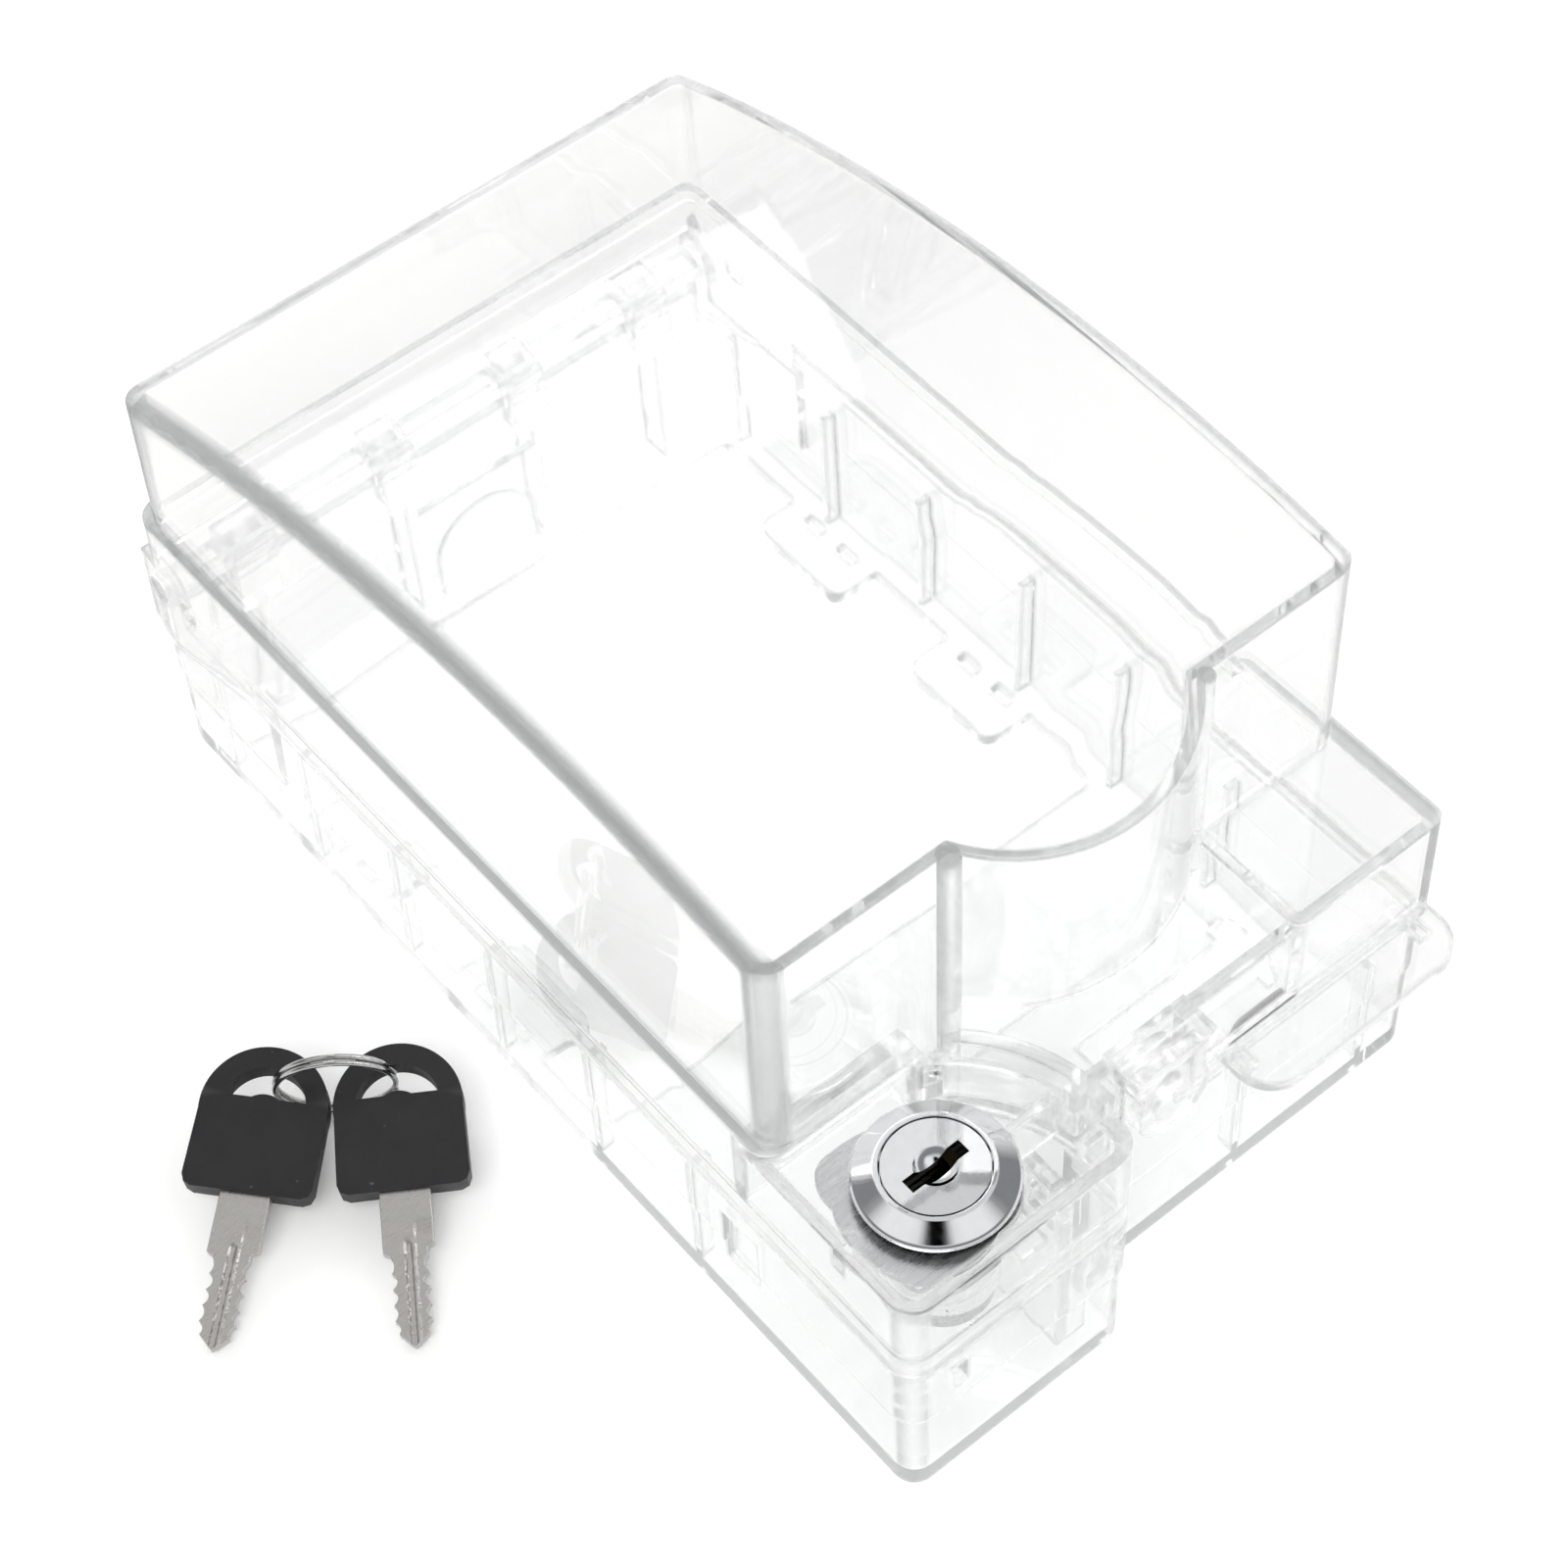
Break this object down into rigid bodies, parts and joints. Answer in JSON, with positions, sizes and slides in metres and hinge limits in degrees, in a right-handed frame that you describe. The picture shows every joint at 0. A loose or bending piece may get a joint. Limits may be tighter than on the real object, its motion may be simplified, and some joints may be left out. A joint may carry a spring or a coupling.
{
  "type": "waterproof switch cover",
  "caption": "Clear hinged weather cover for a wall switch or socket, with an arched lid, cam lock, padlock eye and cable outlet, and its keys on a ring.",
  "frame": {"origin": "centre of the cover on the wall face, half way between its side walls and half way between lock box and hinge wall", "axes": "+Z out of the wall, +Y from the lock to the hinge (up on a wall), +X to the right seen from the front"},
  "size_m": [0.1604, 0.17, 0.092],
  "materials": {
    "clear_base": "clear moulded polycarbonate, glossy",
    "clear_lid": "clear moulded polycarbonate, glossy",
    "rod": "clear polycarbonate rod",
    "lock_chrome": "bright chrome on zinc",
    "lock_steel": "zinc-plated pressed steel",
    "wafer_brass": "stamped brass",
    "seal": "moulded rubber, matt",
    "screw_steel": "zinc-plated",
    "key_metal": "stamped, nickel plated, scratched",
    "key_plastic": "moulded black ABS",
    "ring_steel": "spring wire, nickel plated"
  },
  "bodies": {
    "base": {"base_shell": "clear_base", "cam_catch": "clear_base", "hinge_rod": "rod"},
    "lid": {"lid_shell": "clear_lid", "lock_housing": "lock_chrome", "lock_seal": "seal", "lock_plate": "lock_steel", "lock_washer": "lock_steel", "lock_nut": "lock_steel"},
    "lock_core": {"lock_plug": "lock_chrome", "plug_wafers": "wafer_brass", "wafer_springs": "ring_steel", "stop_disc": "lock_steel", "lock_cam": "lock_steel", "cam_washer": "lock_steel", "cam_screw": "screw_steel"},
    "key_ring": {"split_ring": "ring_steel"},
    "key_1": {"key_head_1": "key_plastic", "key_blade_1": "key_metal"},
    "key_2": {"key_head_2": "key_plastic", "key_blade_2": "key_metal"}
  },
  "joints": [
    {"name": "lid_hinge", "type": "hinge", "parent": "base", "child": "lid", "pos_m": [0, 0.0824, 0.035], "axis": [-1, 0, 0], "range_deg": [0, 110]},
    {"name": "lock_turn", "type": "hinge", "parent": "lid", "child": "lock_core", "pos_m": [-0.035, -0.0715, 0.04], "axis": [0, 0, -1], "range_deg": [0, 90]},
    {"name": "keys_lift", "type": "slide", "parent": "base", "child": "key_ring", "axis": [0, 0, 1], "range_m": [0, 0.15]},
    {"name": "key_1_swing", "type": "hinge", "parent": "key_ring", "child": "key_1", "pos_m": [-0.0816, 0.01685, 0.0089], "axis": [0, 0, 1], "range_deg": [-5, 5]},
    {"name": "key_2_swing", "type": "hinge", "parent": "key_ring", "child": "key_2", "pos_m": [-0.0676, 0.00555, 0.0089], "axis": [0, 0, 1], "range_deg": [-5, 5]}
  ]
}
